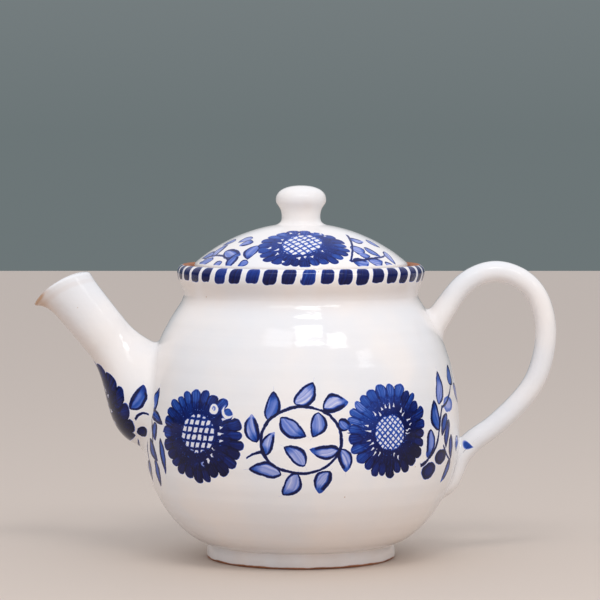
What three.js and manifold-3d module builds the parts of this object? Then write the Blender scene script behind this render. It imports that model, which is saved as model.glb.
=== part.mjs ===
// A lidded earthenware teapot: a thrown globe with a foot ring, a thrown spout and a pulled handle
// luted to it, and a lid with a knob and a locating flange. Millimetres, +Z up, spout towards -X,
// handle towards +X. The origin is on the table, under the middle of the whole pot.
import * as THREE from "three";
import { mergeVertices } from "three/addons/utils/BufferGeometryUtils.js";
import Module from "manifold-3d";

// ---------------------------------------------------------------- driving dimensions

const GAP = 0.3; // between two pieces that are luted together or rest on each other
const WALL = 4.5; // thrown wall of the pot

const FOOT_HEIGHT = 7.6; // table to the crease under the belly
const FOOT_RADIUS = 47.3;
const FOOT_WIDTH = 6.8; // of the ring, outside to inside
const FOOT_EDGE = 1.2; // rounding of the ring's lower edges
const CREASE_DEPTH = 0.5; // how far the crease is cut in over the foot ring
const BASE_THICKNESS = 5.5;

const BELLY_RADIUS = 79.4;
const BELLY_HEIGHT = 62;
const BASE_SPRING = 15.4; // how far the base runs out before it turns up
const BASE_ANGLE = 12.5; // degrees above level, where the base leaves the crease
const NECK_RADIUS = 58.6;
const NECK_HEIGHT = 132;
const RIM_FLARE = 3.3; // how much wider the rim is than the neck
const RIM_RISE = 11.3; // from the neck to the widest part of the rim
const RIM_CROWN = 3.8; // from there to the top of the rim
const RIM_THICKNESS = 7.1;

const GALLERY_DEPTH = 3.6; // of the recess that the lid's edge drops into
const LEDGE_WIDTH = 4.8; // of the ledge that the lid rests on
const LEDGE_THICKNESS = 5;

const LID_CLEARANCE = 1.5; // round the lid's edge, in its recess
const LID_EDGE = 3.7; // thickness of the lid's edge
const LID_RISE = 20.2; // from the top of the edge to the middle of the dome
const LID_WALL = 4;
const FLANGE_CLEARANCE = 1.3; // round the flange, in the mouth
const FLANGE_DEPTH = 9.5; // below the ledge
const FLANGE_WALL = 4.2;
const VENT_DIAMETER = 3; // steam hole in the lid
const VENT_PLACE = 0.6; // its distance from the middle, as a share of the lid's radius

const KNOB_BASE = 11.6; // radius of the flare on the dome
const KNOB_WAIST = 9.7;
const KNOB_RADIUS = 12.6;
const KNOB_HEIGHT = 18.7; // above the middle of the dome
const KNOB_WAIST_HEIGHT = 2.9;
const KNOB_BROW_HEIGHT = 8.6; // the underside of the knob's head
const KNOB_WIDEST_HEIGHT = 11.6;

const SPOUT_ANGLE = 50.9; // degrees above level
const SPOUT_OUT = 5; // the spout starts from a point this far outside the belly ...
const SPOUT_UP = 32.8; // ... and this far above the belly's widest part
const SPOUT_RADIUS = 12.5; // outside, along the tube
const SPOUT_WALL = 3;
const SPOUT_TUBE_START = 20; // from the starting point, where the swelling ends
const SPOUT_LENGTH = 57.4; // from the starting point to the crown of the mouth
const BULB_RADIUS = 25.1; // of the swelling that joins the pot
const BULB_TURN = 21; // rounding of the swelling's lower end
const BULB_SPREAD = 1.12; // how much wider than tall the swelling is
const MOUTH_FLARE = 1.2;
const MOUTH_ARC = 34; // seen from the side, the mouth is trimmed to an arc of this radius ...
const MOUTH_LEAN = 7; // ... whose crown is this far from the tube's axis, towards the lip
const LIP_START = 44; // from the starting point, where the pouring lip begins
const LIP_PULL = 4.9;

const STRAINER_HOLE = 5; // diameter
const STRAINER_PITCH = 9.5; // from the middle hole to the ring of holes
const STRAINER_COUNT = 6; // holes in that ring
const STRAINER_UP = 20; // above the belly's widest part

const HANDLE_THICKNESS = 10.4;
const HANDLE_WIDTH = 16;
const HANDLE_SPLAY = 4; // how much wider it is where it is luted on
const HANDLE_TAIL = 7; // thickness of its lower end, pressed on to the pot

// The handle's centre line. Its upper half is [outside the belly radius, above the neck], and its
// lower half is [outside the belly radius, above the belly's widest part].
const HANDLE_UPPER = [
  [-18, -24],
  [-10, -11],
  [3.4, 6.1],
  [17.4, 11.5],
  [30.6, 7.8],
  [39.1, -1.1],
];
const HANDLE_LOWER = [
  [43.3, 51.5],
  [37.6, 26.2],
  [18.9, 5],
  [6.5, -4.2],
  [-0.2, -12],
  [-2.8, -19.4],
  [-5, -26.4],
];

const ROUND_STEPS = 56;
const KNOB_STEPS = 32;
const SPOUT_STEPS = 32;
const HANDLE_STEPS = [16, 36]; // around and along
const CURVE_STEPS = 5; // along each stretch of an outline

// ---------------------------------------------------------------- derived sizes

const RIM_RADIUS = NECK_RADIUS + RIM_FLARE;
const RIM_HEIGHT = NECK_HEIGHT + RIM_RISE;
const RIM_TOP = RIM_HEIGHT + RIM_CROWN;
const GALLERY_RADIUS = RIM_RADIUS - RIM_THICKNESS;
const LEDGE_TOP = RIM_TOP - GALLERY_DEPTH;
const MOUTH_RADIUS = GALLERY_RADIUS - LEDGE_WIDTH;

const LID_RADIUS = GALLERY_RADIUS - LID_CLEARANCE;
const LID_UNDER = LEDGE_TOP + GAP;
const LID_EDGE_TOP = LID_UNDER + LID_EDGE;
const FLANGE_RADIUS = MOUTH_RADIUS - FLANGE_CLEARANCE;
const DOME_TOP = LID_EDGE_TOP + LID_RISE;
const DOME_RADIUS = (LID_RADIUS ** 2 + LID_RISE ** 2) / (2 * LID_RISE);
const DOME_CENTRE = DOME_TOP - DOME_RADIUS;

// ---------------------------------------------------------------- helpers

const wasm = await Module();
wasm.setup();

const radians = THREE.MathUtils.degToRad;
const lerp = THREE.MathUtils.lerp;
const point = (r, z) => new THREE.Vector2(r, z);

// A closed three.js geometry as a solid that can be cut and joined.
function solidOf(geometry) {
  const bare = geometry.clone();
  bare.deleteAttribute("normal");
  bare.deleteAttribute("uv");
  const merged = mergeVertices(bare, 1e-3);
  return new wasm.Manifold(
    new wasm.Mesh({
      numProp: 3,
      vertProperties: merged.attributes.position.array,
      triVerts: new Uint32Array(merged.index.array),
    }),
  );
}

// A solid as a geometry with flat faces.
function geometryOf(solid) {
  const mesh = solid.getMesh();
  const geometry = new THREE.BufferGeometry();
  geometry.setAttribute("position", new THREE.BufferAttribute(mesh.vertProperties, 3));
  geometry.setIndex(new THREE.BufferAttribute(mesh.triVerts, 1));
  const faceted = geometry.toNonIndexed();
  faceted.computeVertexNormals();
  return faceted;
}

// Turns a profile of (radius, height) points about the Z axis. The profile runs anticlockwise,
// with radius to the right and height up, and closes on itself or starts and ends on the axis.
function turned(profile, steps = ROUND_STEPS) {
  return new THREE.LatheGeometry(profile, steps).rotateX(Math.PI / 2);
}

// Moves every vertex of a geometry with a function that edits a Vector3.
function warped(geometry, move) {
  const position = geometry.attributes.position;
  const v = new THREE.Vector3();
  for (let i = 0; i < position.count; i++) {
    move(v.fromBufferAttribute(position, i));
    position.setXYZ(i, v.x, v.y, v.z);
  }
  return geometry;
}

// Points along a list of 2D curves that follow on from each other.
function along(curves, steps) {
  return curves.flatMap((curve, i) => curve.getPoints(steps).slice(i ? 1 : 0));
}

// Points on a sphere's outline centred on the axis, from one radius to another.
function dome(sphereRadius, centre, from, to, steps) {
  const points = [];
  for (let i = 0; i <= steps; i++) {
    const r = lerp(from, to, i / steps);
    points.push(point(r, centre + Math.sqrt(sphereRadius ** 2 - r ** 2)));
  }
  return points;
}

// ---------------------------------------------------------------- the pot's outline

const crease = point(FOOT_RADIUS - CREASE_DEPTH, FOOT_HEIGHT);
const belly = point(BELLY_RADIUS, BELLY_HEIGHT);
const neck = point(NECK_RADIUS, NECK_HEIGHT);
const rim = point(RIM_RADIUS, RIM_HEIGHT);
const crown = point(RIM_RADIUS - RIM_THICKNESS / 2, RIM_TOP);

const lowerRise = BELLY_HEIGHT - FOOT_HEIGHT;
const upperRise = NECK_HEIGHT - BELLY_HEIGHT;
const above = (p, rise) => point(p.x, p.y + rise);
const spring = point(
  crease.x + BASE_SPRING * Math.cos(radians(BASE_ANGLE)),
  crease.y + BASE_SPRING * Math.sin(radians(BASE_ANGLE)),
);
const globe = [
  new THREE.CubicBezierCurve(crease, spring, above(belly, -0.5 * lowerRise), belly),
  new THREE.CubicBezierCurve(belly, above(belly, 0.7 * upperRise), above(neck, -0.09 * upperRise), neck),
];
const collar = [
  new THREE.CubicBezierCurve(neck, above(neck, 0.4 * RIM_RISE), above(rim, -0.4 * RIM_RISE), rim),
  new THREE.QuadraticBezierCurve(rim, point(rim.x, RIM_TOP), crown),
];

// ---------------------------------------------------------------- pot body

// The solid that the pot's outside encloses, swollen by the gap. It cuts what is luted to the pot.
function potEnvelope() {
  const shell = along([...globe, ...collar], CURVE_STEPS).map((p) => point(p.x + GAP, p.y));
  return solidOf(turned([point(0, FOOT_HEIGHT), ...shell, point(0, RIM_TOP)]));
}

// The globe's outline moved in by the wall, from the floor up to the neck.
function innerWall(floor) {
  const inside = globe.flatMap((curve, part) =>
    curve.getPoints(CURVE_STEPS).map((p, i) => {
      const ahead = curve.getTangent(i / CURVE_STEPS);
      return part && !i ? null : point(p.x - WALL * ahead.y, p.y + WALL * ahead.x);
    }),
  );
  return inside.filter((p) => p && p.y > floor + WALL / 2);
}

// Holes through the wall behind the spout, one in the middle of a ring, that hold back the leaves.
function strainerHoles() {
  const height = BELLY_HEIGHT + STRAINER_UP;
  const radius = STRAINER_HOLE / 2;
  const bore = new THREE.CylinderGeometry(radius, radius, 8 * WALL, 12).rotateZ(Math.PI / 2);
  const middle = solidOf(bore.translate(-BELLY_RADIUS, 0, height));
  const turns = [...Array(STRAINER_COUNT).keys()].map((i) => (i * 2 * Math.PI) / STRAINER_COUNT);
  return turns.reduce(
    (holes, turn) =>
      holes.add(middle.translate([0, STRAINER_PITCH * Math.cos(turn), STRAINER_PITCH * Math.sin(turn)])),
    middle,
  );
}

function potBody() {
  const floor = FOOT_HEIGHT + BASE_THICKNESS;
  const wall = innerWall(floor);
  const profile = [
    point(0, FOOT_HEIGHT),
    ...along([...globe, ...collar], CURVE_STEPS),
    point(GALLERY_RADIUS, RIM_TOP - (crown.x - GALLERY_RADIUS) / 3),
    point(GALLERY_RADIUS, LEDGE_TOP),
    point(MOUTH_RADIUS, LEDGE_TOP),
    point(MOUTH_RADIUS, LEDGE_TOP - LEDGE_THICKNESS),
    ...wall.reverse(),
    point(crease.x - WALL, floor),
    point(0, floor),
  ];
  return geometryOf(solidOf(turned(profile)).subtract(strainerHoles()));
}

// ---------------------------------------------------------------- foot ring

function footRing() {
  const top = FOOT_HEIGHT - GAP;
  const inside = FOOT_RADIUS - FOOT_WIDTH;
  return turned([
    point(inside + FOOT_EDGE, 0),
    point(FOOT_RADIUS - FOOT_EDGE, 0),
    point(FOOT_RADIUS - 0.3 * FOOT_EDGE, 0.3 * FOOT_EDGE),
    point(FOOT_RADIUS, FOOT_EDGE),
    point(FOOT_RADIUS, 0.6 * top),
    point(crease.x, top),
    point(inside, top),
    point(inside, FOOT_EDGE),
    point(inside + FOOT_EDGE, 0),
  ]);
}

// ---------------------------------------------------------------- spout

// The spout is thrown about its own axis, the Z axis here, and then leant over into place.
// Its lower side, where the lip is, faces -X. An inset of the wall gives its channel.
function spoutOutline(inset, length) {
  const bulb = BULB_RADIUS - inset;
  const tube = SPOUT_RADIUS - inset;
  const widest = -BULB_TURN;
  const turn = BULB_TURN - inset;
  const swell = SPOUT_TUBE_START - widest;
  const bottom = point(bulb - turn, widest - turn);
  const curves = [
    new THREE.EllipseCurve(bottom.x, widest, turn, turn, -Math.PI / 2, 0),
    new THREE.CubicBezierCurve(
      point(bulb, widest),
      point(bulb, widest + 0.34 * swell),
      point(tube, SPOUT_TUBE_START - 0.4 * swell),
      point(tube, SPOUT_TUBE_START),
    ),
    new THREE.QuadraticBezierCurve(
      point(tube, SPOUT_TUBE_START),
      point(tube, LIP_START - 4),
      point(tube + MOUTH_FLARE, length),
    ),
  ];
  return [point(0, bottom.y), ...along(curves, CURVE_STEPS), point(0, length)];
}

// Spreads the swelling sideways over the pot, pulls the lip out, and trims the mouth to its arc.
function shapeSpout(v) {
  const swelling = 1 - THREE.MathUtils.smoothstep(v.z, -BULB_TURN, SPOUT_TUBE_START);
  v.y *= lerp(1, BULB_SPREAD, swelling);
  const reach = Math.max(0, (v.z - LIP_START) / (SPOUT_LENGTH - LIP_START));
  const under = Math.max(0, -v.x / (Math.hypot(v.x, v.y) || 1));
  v.x -= LIP_PULL * under ** 5 * Math.min(reach, 1.2) ** 2.5;
  const mouth = SPOUT_LENGTH - MOUTH_ARC + Math.sqrt(MOUTH_ARC ** 2 - (v.x + MOUTH_LEAN) ** 2);
  if (reach > 0) v.z = LIP_START + reach * (mouth - LIP_START);
}

function placedSpout(inset, length) {
  const geometry = warped(turned(spoutOutline(inset, length), SPOUT_STEPS), shapeSpout);
  geometry.rotateY(-radians(90 - SPOUT_ANGLE));
  return solidOf(geometry.translate(-BELLY_RADIUS - SPOUT_OUT, 0, BELLY_HEIGHT + SPOUT_UP));
}

function spout() {
  const channel = placedSpout(SPOUT_WALL, SPOUT_LENGTH + SPOUT_WALL);
  return geometryOf(placedSpout(0, SPOUT_LENGTH).subtract(channel).subtract(potEnvelope()));
}

// ---------------------------------------------------------------- handle

// A value that runs smoothly through evenly spaced stops as u goes from 0 to 1.
function through(stops, u) {
  const curve = new THREE.SplineCurve(stops.map((value, i) => point(i, value)));
  return curve.getPoint(u).y;
}

function handle() {
  const places = [
    ...HANDLE_UPPER.map(([out, up]) => [BELLY_RADIUS + out, NECK_HEIGHT + up]),
    ...HANDLE_LOWER.map(([out, up]) => [BELLY_RADIUS + out, BELLY_HEIGHT + up]),
  ];
  const line = new THREE.CatmullRomCurve3(places.map(([x, z]) => new THREE.Vector3(x, 0, z)));
  const splayed = HANDLE_WIDTH + HANDLE_SPLAY;
  const widths = [splayed, HANDLE_WIDTH, HANDLE_WIDTH, HANDLE_WIDTH, splayed - 1];
  const full = HANDLE_THICKNESS;
  const thicknesses = [full + 3, full, full, full, full + 0.3, full + 0.8, HANDLE_TAIL];
  const side = new THREE.Vector3(0, 1, 0);
  const bar = new THREE.CylinderGeometry(1, 1, 1, ...HANDLE_STEPS);
  warped(bar, (v) => {
    const u = THREE.MathUtils.clamp(v.y + 0.5, 0, 1);
    const outward = line.getTangentAt(u).cross(side);
    const across = (v.x * through(thicknesses, u)) / 2;
    const aside = (v.z * through(widths, u)) / 2;
    v.copy(line.getPointAt(u)).addScaledVector(outward, across).addScaledVector(side, aside);
  });
  return geometryOf(solidOf(bar).subtract(potEnvelope()));
}

// ---------------------------------------------------------------- lid

function lidDome() {
  const hollow = DOME_RADIUS - LID_WALL;
  const inside = FLANGE_RADIUS - FLANGE_WALL;
  const shell = solidOf(
    turned([
      ...dome(hollow, DOME_CENTRE, 0, inside, CURVE_STEPS),
      point(inside, LID_UNDER),
      point(LID_RADIUS, LID_UNDER),
      ...dome(DOME_RADIUS, DOME_CENTRE, LID_RADIUS, 0, 12),
    ]),
  );
  const radius = VENT_DIAMETER / 2;
  const vent = new THREE.CylinderGeometry(radius, radius, 4 * LID_RISE, 16).rotateX(Math.PI / 2);
  return geometryOf(shell.subtract(solidOf(vent.translate(0, VENT_PLACE * LID_RADIUS, DOME_TOP))));
}

function lidFlange() {
  const top = LID_UNDER - GAP;
  const bottom = LEDGE_TOP - FLANGE_DEPTH;
  const inside = FLANGE_RADIUS - FLANGE_WALL;
  const rounding = 0.3 * FLANGE_WALL;
  return turned([
    point(inside + rounding, bottom),
    point(FLANGE_RADIUS - rounding, bottom),
    point(FLANGE_RADIUS, bottom + rounding),
    point(FLANGE_RADIUS, top),
    point(inside, top),
    point(inside, bottom + rounding),
    point(inside + rounding, bottom),
  ]);
}

function lidKnob() {
  const at = (r, height) => point(r, DOME_TOP + height);
  const foot = dome(DOME_RADIUS + GAP, DOME_CENTRE, 0, KNOB_BASE, 3);
  const edge = foot[foot.length - 1];
  const curves = [
    new THREE.QuadraticBezierCurve(edge, at(KNOB_WAIST, 0.6), at(KNOB_WAIST, KNOB_WAIST_HEIGHT)),
    new THREE.CubicBezierCurve(
      at(KNOB_WAIST, KNOB_WAIST_HEIGHT),
      at(KNOB_WAIST, KNOB_BROW_HEIGHT),
      at(KNOB_RADIUS, KNOB_BROW_HEIGHT),
      at(KNOB_RADIUS, KNOB_WIDEST_HEIGHT),
    ),
    new THREE.CubicBezierCurve(
      at(KNOB_RADIUS, KNOB_WIDEST_HEIGHT),
      at(KNOB_RADIUS, lerp(KNOB_WIDEST_HEIGHT, KNOB_HEIGHT, 0.65)),
      at(0.6 * KNOB_RADIUS, KNOB_HEIGHT),
      at(0, KNOB_HEIGHT),
    ),
  ];
  return turned([...foot, ...along(curves, CURVE_STEPS).slice(1)], KNOB_STEPS);
}

// ---------------------------------------------------------------- the assembly

const glaze = { color: "#e9e3dc", roughness: 0.15 };
const bareClay = { color: "#8a4b32", roughness: 0.8 };

function piece(name, geometry, finish) {
  const mesh = new THREE.Mesh(geometry, new THREE.MeshStandardMaterial(finish));
  mesh.name = name;
  return mesh;
}

const teapot = new THREE.Group();
teapot.add(
  piece("pot_body", potBody(), glaze),
  piece("foot_ring", footRing(), bareClay),
  piece("spout", spout(), glaze),
  piece("handle", handle(), glaze),
  piece("lid_dome", lidDome(), glaze),
  piece("lid_flange", lidFlange(), bareClay),
  piece("lid_knob", lidKnob(), glaze),
);
const reach = new THREE.Box3().setFromObject(teapot);
teapot.position.x = -(reach.min.x + reach.max.x) / 2;

export default teapot;
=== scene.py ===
# A white-glazed earthenware teapot with hand-painted cobalt flowers, dressed around its packed
# CAD model. Sizes are millimetres. Meshes are made about the pot's own axis, with the spout
# towards -X and the handle towards +X, and their objects stand on that axis.
import math

import bpy
import bmesh
import numpy as np
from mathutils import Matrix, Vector


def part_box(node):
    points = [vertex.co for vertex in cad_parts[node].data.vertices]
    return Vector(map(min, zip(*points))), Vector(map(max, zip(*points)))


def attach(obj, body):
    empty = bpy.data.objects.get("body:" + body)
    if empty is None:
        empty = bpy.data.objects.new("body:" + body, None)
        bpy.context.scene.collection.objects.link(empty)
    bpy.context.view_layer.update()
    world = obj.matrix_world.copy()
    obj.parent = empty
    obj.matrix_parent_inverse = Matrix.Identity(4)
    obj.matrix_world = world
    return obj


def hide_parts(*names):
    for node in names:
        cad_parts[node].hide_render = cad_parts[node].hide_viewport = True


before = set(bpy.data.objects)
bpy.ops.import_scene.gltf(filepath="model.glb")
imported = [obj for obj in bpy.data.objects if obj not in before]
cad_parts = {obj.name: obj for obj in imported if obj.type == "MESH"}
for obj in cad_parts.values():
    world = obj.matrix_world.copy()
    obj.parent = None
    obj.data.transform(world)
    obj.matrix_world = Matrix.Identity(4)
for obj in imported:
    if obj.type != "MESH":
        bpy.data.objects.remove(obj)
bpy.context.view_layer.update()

MM = 0.001
FULL_TURN = 2 * math.pi

# ---- sizes


def box_mm(node):
    """A CAD node's lowest and highest corners."""
    low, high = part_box(node)
    return low / MM, high / MM


POT_LOW, POT_HIGH = box_mm("pot_body")
FOOT_HIGH = box_mm("foot_ring")[1]
LID_LOW, LID_HIGH = box_mm("lid_dome")
FLANGE_LOW, FLANGE_HIGH = box_mm("lid_flange")
KNOB_LOW, KNOB_HIGH = box_mm("lid_knob")
AXIS_X = (KNOB_LOW.x + KNOB_HIGH.x) / 2

BELLY_RADIUS = POT_HIGH.y
BELLY_HEIGHT = 62
CREASE_HEIGHT = POT_LOW.z
CREASE_RADIUS = FOOT_HIGH.y - 0.5
BASE_ANGLE = math.radians(12.5)
BASE_SPRING = 15.4
BASE_THICKNESS = 5.5
WALL = 4.5
NECK_RADIUS = 58.6
NECK_HEIGHT = 132
RIM_RADIUS = 61.9
RIM_HEIGHT = 143.3
RIM_TOP = POT_HIGH.z
RIM_THICKNESS = 7.1
GALLERY_RADIUS = RIM_RADIUS - RIM_THICKNESS
LEDGE_TOP = RIM_TOP - 3.6
LEDGE_THICKNESS = 5
MOUTH_RADIUS = GALLERY_RADIUS - 4.8

FOOT_WIDTH = 6.8
LID_RADIUS = LID_HIGH.y
LID_EDGE_TOP = LID_LOW.z + 3.7
LID_RISE = LID_HIGH.z - LID_EDGE_TOP
LID_WALL = 4
DOME_RADIUS = (LID_RADIUS ** 2 + LID_RISE ** 2) / (2 * LID_RISE)
DOME_CENTRE = LID_HIGH.z - DOME_RADIUS
FLANGE_WALL = 4.2
VENT_RADIUS = 1.5
VENT_PLACE = 0.6 * LID_RADIUS

SPOUT_LEAN = math.radians(90 - 50.9)
SPOUT_START = (-BELLY_RADIUS - 5, BELLY_HEIGHT + 32.8)
SPOUT_RADIUS = 12.5
SPOUT_WALL = 3
SPOUT_LENGTH = 57.4
SPOUT_STEPS = 96
TUBE_START = 20
BULB_RADIUS = 25.1
BULB_TURN = 21
BULB_SPREAD = 1.12
MOUTH_FLARE = 1.2
MOUTH_ARC = 34
MOUTH_LEAN = 7
LIP_START = 44
LIP_PULL = 4.9
LIP_ROUNDING = 1.3
STRAINER_RADIUS = 2.5
STRAINER_PITCH = 9.5
STRAINER_COUNT = 6
STRAINER_HEIGHT = BELLY_HEIGHT + 20

# The handle's centre line: (outside the belly's radius, above the neck), then
# (outside the belly's radius, above the belly's widest part). It dives into the wall at both ends.
HANDLE_UPPER = [(-18, -24), (-10, -11), (3.4, 6.1), (17.4, 11.5), (30.6, 7.8), (39.1, -1.1)]
HANDLE_LOWER = [
    (43.3, 51.5), (37.6, 26.2), (18.9, 5), (6.5, -4.2), (-0.2, -12), (-2.8, -19.4), (-5.3, -25.6),
    (-11, -29.5), (-20, -31),
]

# (share of the handle's length, size) across the strap in its own plane, and from front to back.
HANDLE_THICKNESSES = [
    (0, 14), (0.13, 10.6), (0.3, 10.4), (0.75, 10.6), (0.85, 11.2), (0.95, 8), (1, 7),
]
HANDLE_WIDTHS = [(0, 21), (0.13, 16), (0.5, 16), (0.8, 16.4), (0.9, 18.5), (1, 17)]
HANDLE_STEPS = 64
UPPER_FILLET = 4.0
LOWER_FILLET = 2.6

# How far a piece's hidden end goes into the pot's wall.
ROOT_DEPTH = 1.6

# ---- lines and surfaces


def turns(steps):
    """Angles evenly round a circle."""
    return np.arange(steps) * FULL_TURN / steps


def unit(vectors):
    return vectors / np.linalg.norm(vectors, axis=-1, keepdims=True)


def run_of(line, power=1):
    """How far along a line each of its points is."""
    return np.append(0, np.cumsum(np.linalg.norm(np.diff(line, axis=0), axis=1) ** power))


def blurred(values, width, **padding):
    """A row of values, each averaged with its neighbours."""
    kernel = np.hanning(width) / np.hanning(width).sum()
    return np.convolve(np.pad(values, width // 2, **padding), kernel, mode="valid")


def smoothstep(value, low, high):
    t = np.clip((value - low) / (high - low), 0, 1)
    return t * t * (3 - 2 * t)


def bezier(*points, steps=24):
    """Points along a Bezier curve of any degree."""
    t = np.linspace(0, 1, steps + 1)[:, None]
    degree = len(points) - 1
    terms = [
        math.comb(degree, i) * t ** i * (1 - t) ** (degree - i) * np.array(p, float)
        for i, p in enumerate(points)
    ]
    return sum(terms)


def arc(centre, radius, start, end, steps=12):
    """Points on a circle, from one angle to another, in degrees."""
    turn = np.radians(np.linspace(start, end, steps + 1))
    return np.stack((centre[0] + radius * np.cos(turn), centre[1] + radius * np.sin(turn)), 1)


def corners(*places, steps=6):
    """Straight lines through (radius, height, rounding), with each corner rounded off."""
    line = [np.array([places[0][:2]], float)]
    for before, here, after in zip(places, places[1:], places[2:]):
        corner = np.array(here[:2], float)
        ways = [np.array(p[:2], float) - corner for p in (before, after)]
        back, on = (corner + here[2] * way / np.linalg.norm(way) for way in ways)
        line.append(bezier(back, corner, on, steps=steps) if here[2] else corner[None])
    line.append(np.array([places[-1][:2]], float))
    return np.concatenate(line)


def chain(*stretches):
    """Lines that follow on from each other, as one, without doubled points."""
    line = np.concatenate(stretches)
    apart = np.linalg.norm(np.diff(line, axis=0), axis=1) > 1e-4
    return line[np.append(True, apart)]


def spaced(line, step):
    """The same line with extra points, so that no two are further apart than step."""
    result = [line[:1]]
    for start, end in zip(line, line[1:]):
        count = max(1, math.ceil(np.linalg.norm(end - start) / step))
        result.append(start + (end - start) * (np.arange(1, count + 1) / count)[:, None])
    return np.concatenate(result)


def turned(line, steps=192):
    """Rings made by turning a line of (radius, height) about the pot's axis."""
    turn = turns(steps)
    radius, height = line[:, :1], np.repeat(line[:, 1:], steps, axis=1)
    return np.stack((radius * np.cos(turn), radius * np.sin(turn), height), -1)


def thrown(rings, depth, pitch=9.5):
    """The slight spiral ridges and out-of-round that a potter's fingers leave."""
    x, y, z = np.moveaxis(rings, -1, 0)
    turn = np.arctan2(y, x)
    climb = FULL_TURN * z / pitch
    ridge = np.sin(climb + turn) + 0.5 * np.sin(1.8 * climb - turn + 1)
    sway = 1.6 * np.sin(2 * turn + 0.7) + 0.8 * np.sin(3 * turn + z / 40)
    radius = np.maximum(np.hypot(x, y), 1e-6)
    swell = 1 + depth * (ridge + sway) * np.minimum(1, radius / 20) / radius
    return np.stack((x * swell, y * swell, z), -1)


def through(stops, u):
    """A value that runs smoothly through (place, value) stops."""
    fine = np.linspace(0, 1, 401)
    return np.interp(u, fine, blurred(np.interp(fine, *zip(*stops)), 41, mode="edge"))


# ---- the pot's outline


def pot_outside():
    """(radius, height) from the crease over the foot to the inner edge of the rim's crown."""
    crease = np.array((CREASE_RADIUS, CREASE_HEIGHT))
    spring = crease + BASE_SPRING * np.array((math.cos(BASE_ANGLE), math.sin(BASE_ANGLE)))
    lower_rise, upper_rise = BELLY_HEIGHT - CREASE_HEIGHT, NECK_HEIGHT - BELLY_HEIGHT
    rim_rise = RIM_HEIGHT - NECK_HEIGHT
    belly, neck = (BELLY_RADIUS, BELLY_HEIGHT), (NECK_RADIUS, NECK_HEIGHT)
    rim, crown = (RIM_RADIUS, RIM_HEIGHT), (RIM_RADIUS - RIM_THICKNESS / 2, RIM_TOP)
    return chain(
        bezier(crease, spring, (BELLY_RADIUS, BELLY_HEIGHT - lower_rise / 2), belly, steps=48),
        bezier(belly, (BELLY_RADIUS, BELLY_HEIGHT + 0.7 * upper_rise),
               (NECK_RADIUS, NECK_HEIGHT - 0.09 * upper_rise), neck, steps=48),
        bezier(neck, (NECK_RADIUS, NECK_HEIGHT + 0.4 * rim_rise),
               (RIM_RADIUS, RIM_HEIGHT - 0.4 * rim_rise), rim, steps=14),
        bezier(rim, (RIM_RADIUS, RIM_HEIGHT + 2.1), (crown[0] + 1.9, RIM_TOP), crown, steps=10),
    )


OUTSIDE = pot_outside()
WALL_LINE = OUTSIDE[OUTSIDE[:, 1] < RIM_HEIGHT]
WALL_SLOPE = np.gradient(WALL_LINE[:, 0], WALL_LINE[:, 1])


def depth_in_pot(points):
    """How far points are outside the pot's wall, roughly; inside is negative."""
    x, y, z = np.moveaxis(points, -1, 0)
    radius = np.interp(z, WALL_LINE[:, 1], WALL_LINE[:, 0])
    return (np.hypot(x, y) - radius) / np.hypot(1, np.interp(z, WALL_LINE[:, 1], WALL_SLOPE))


def pot_normal(points):
    """The outward direction of the pot's wall next to points."""
    x, y, z = np.moveaxis(points, -1, 0)
    across = np.hypot(x, y)
    return unit(np.stack((x / across, y / across, -np.interp(z, WALL_LINE[:, 1], WALL_SLOPE)), -1))


def on_pot(points, sunk=0.0):
    """Points moved on to the pot's wall, or sunk into it."""
    for _ in range(4):
        points = points - (depth_in_pot(points) + sunk)[..., None] * pot_normal(points)
    return points


def root_of(surface, start, end, steps=400):
    """For each angle round a surface, the place along it where it enters the pot."""
    places = np.linspace(start, end, steps)
    outside = depth_in_pot(surface(places[:, None])) > 0
    first = np.argmin(outside, axis=0)
    low, high = places[np.maximum(first - 1, 0)], places[first]
    for _ in range(24):
        middle = (low + high) / 2
        clear = depth_in_pot(surface(middle)) > 0
        low, high = np.where(clear, middle, low), np.where(clear, high, middle)
    return low


def rooted(surface, root, forward, fillet, steps=9):
    """Rings that run down a surface near its root and flow out on to the pot's wall."""
    seam = surface(root)
    along = np.roll(seam, -1, axis=0) - np.roll(seam, 1, axis=0)
    out = unit(np.cross(along, pot_normal(seam)))
    out *= np.sign(np.sum(out * (seam - seam.mean(axis=0))))
    start = surface(root - forward * fillet)
    end = on_pot(seam + out * np.broadcast_to(fillet, root.shape)[:, None], sunk=0.04)
    t = np.linspace(0, 1, steps + 1)[:, None, None]
    rings = (1 - t) ** 2 * start + 2 * t * (1 - t) * seam + t * t * end
    return np.concatenate((rings, on_pot(seam, sunk=ROOT_DEPTH)[None]))


# ---- spout


def spout_line(inset):
    """The spout's outline about its own axis, from the end of its swelling to its mouth."""
    bulb, tube, turn = BULB_RADIUS - inset, SPOUT_RADIUS - inset, BULB_TURN - inset
    swell = TUBE_START + BULB_TURN
    return chain(
        [(0, -BULB_TURN - turn)],
        arc((bulb - turn, -BULB_TURN), turn, -90, 0, steps=20),
        bezier((bulb, -BULB_TURN), (bulb, 0.34 * swell - BULB_TURN),
               (tube, TUBE_START - 0.4 * swell), (tube, TUBE_START), steps=40),
        bezier((tube, TUBE_START), (tube, LIP_START - 4),
               (tube + MOUTH_FLARE, SPOUT_LENGTH), steps=30),
    )


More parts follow.
